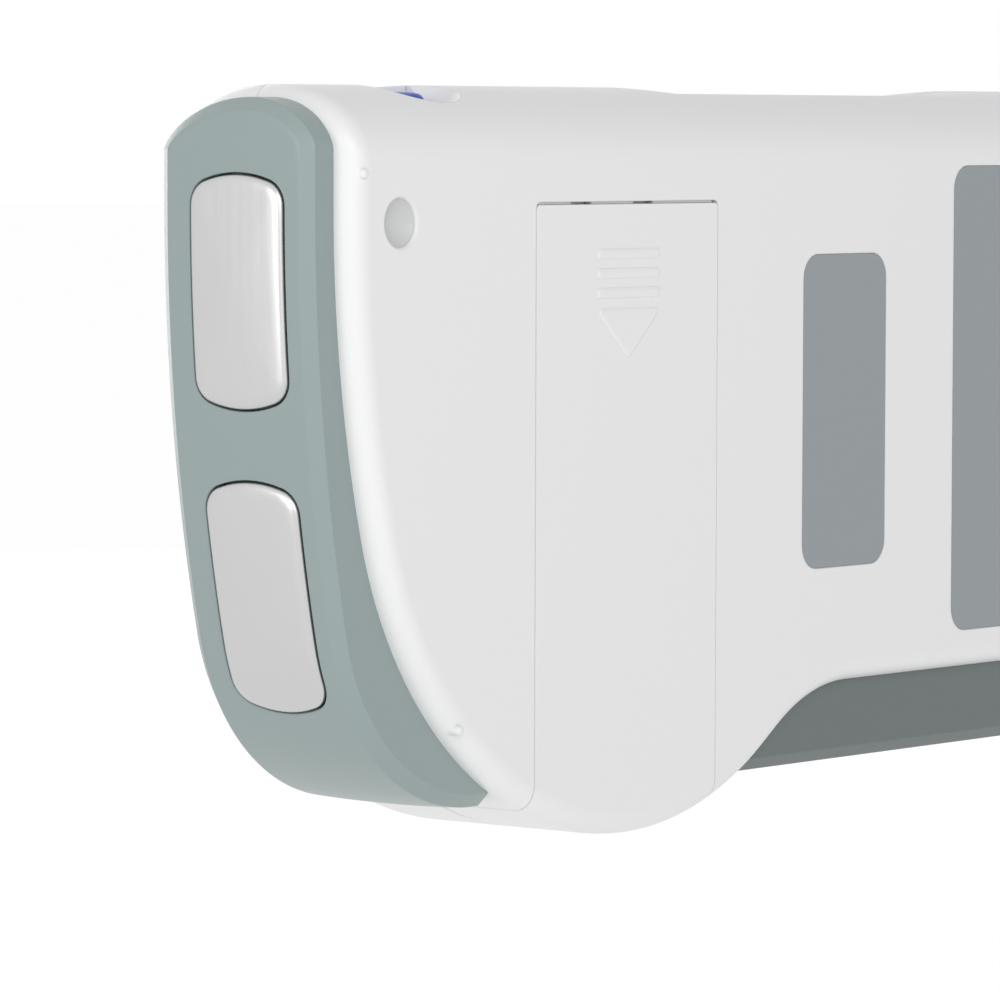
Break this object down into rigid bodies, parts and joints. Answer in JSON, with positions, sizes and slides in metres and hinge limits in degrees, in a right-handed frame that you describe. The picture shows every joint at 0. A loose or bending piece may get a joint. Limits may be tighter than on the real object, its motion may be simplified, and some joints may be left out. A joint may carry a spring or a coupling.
{
  "type": "ecg home monitor",
  "caption": "Hand-held heart monitor with finger and chest electrodes on its ends, a sliding battery door, a measure button and front keys.",
  "frame": {"origin": "centre of the overall box at the level of the belly's lowest point, standing on its long edge", "axes": "+X to the two-electrode end, +Y out of the back with the battery door, +Z to the top edge with the measure button"},
  "size_m": [0.1214, 0.0242, 0.0602],
  "materials": {
    "white_shell": "satin-gloss moulded ABS, white",
    "bumper": "fine satin moulded plastic, grey-teal",
    "electrode_steel": "fine-brushed stainless steel",
    "contact_brass": "plain spring brass",
    "button_blue": "satin plastic, royal blue",
    "switch_black": "matte plastic, black",
    "key_blue": "satin plastic, blue",
    "key_grey": "satin plastic, grey",
    "silicone": "matte silicone, pale grey",
    "window_glass": "clear gloss acrylic with a dark border behind",
    "holder_black": "matte plastic, black",
    "panel_glass": "smooth display glass, grey-green",
    "ribbon_amber": "polyimide film, amber",
    "board_green": "solder mask, green",
    "chip_black": "moulded epoxy, black",
    "tin": "tin-plated sheet",
    "cell_wrap": "foil wrap over the can, plain silver-grey",
    "spring_wire": "nickel-plated wire",
    "screw_steel": "zinc-plated steel",
    "plug_white": "matte soft plastic, off-white",
    "label_foil": "satin foil label, grey, bare"
  },
  "bodies": {
    "housing": {"back_cover": "white_shell", "front_housing": "white_shell", "near_end_cap": "bumper", "far_end_cap": "bumper", "lower_trim": "bumper", "upper_electrode": "electrode_steel", "lower_electrode": "electrode_steel", "far_electrode": "electrode_steel", "upper_contact": "contact_brass", "lower_contact": "contact_brass", "far_contact": "contact_brass", "measure_switch": "switch_black", "key_mat": "silicone", "key_switches": "switch_black", "display_window": "window_glass", "display_holder": "holder_black", "display_panel": "panel_glass", "display_ribbon": "ribbon_amber", "main_board": "board_green", "board_chips": "chip_black", "analog_shield": "tin", "data_socket": "tin", "buzzer": "chip_black", "battery_one": "cell_wrap", "battery_two": "cell_wrap", "battery_springs": "spring_wire", "battery_plates": "tin", "housing_screws": "screw_steel", "board_screws": "screw_steel", "screw_plugs": "plug_white", "serial_label": "label_foil", "rating_label": "label_foil"},
    "battery_cover": {"battery_cover": "white_shell"},
    "measure_button": {"measure_button": "button_blue"},
    "power_key": {"power_key": "key_blue"},
    "up_key": {"up_key": "key_grey"},
    "down_key": {"down_key": "key_grey"},
    "select_key": {"select_key": "key_grey"}
  },
  "joints": [
    {"name": "battery_cover_slide", "type": "slide", "parent": "housing", "child": "battery_cover", "axis": [0, 0, -1], "range_m": [0, 0.056]},
    {"name": "measure_button_press", "type": "slide", "parent": "housing", "child": "measure_button", "axis": [0, 0, -1], "range_m": [0, 0.0007], "stiffness_N_per_m": 600},
    {"name": "power_key_press", "type": "slide", "parent": "housing", "child": "power_key", "axis": [0, 1, 0], "range_m": [0, 0.0006], "stiffness_N_per_m": 400},
    {"name": "up_key_press", "type": "slide", "parent": "housing", "child": "up_key", "axis": [0, 1, 0], "range_m": [0, 0.0006], "stiffness_N_per_m": 400},
    {"name": "down_key_press", "type": "slide", "parent": "housing", "child": "down_key", "axis": [0, 1, 0], "range_m": [0, 0.0006], "stiffness_N_per_m": 400},
    {"name": "select_key_press", "type": "slide", "parent": "housing", "child": "select_key", "axis": [0, 1, 0], "range_m": [0, 0.0006], "stiffness_N_per_m": 400}
  ]
}
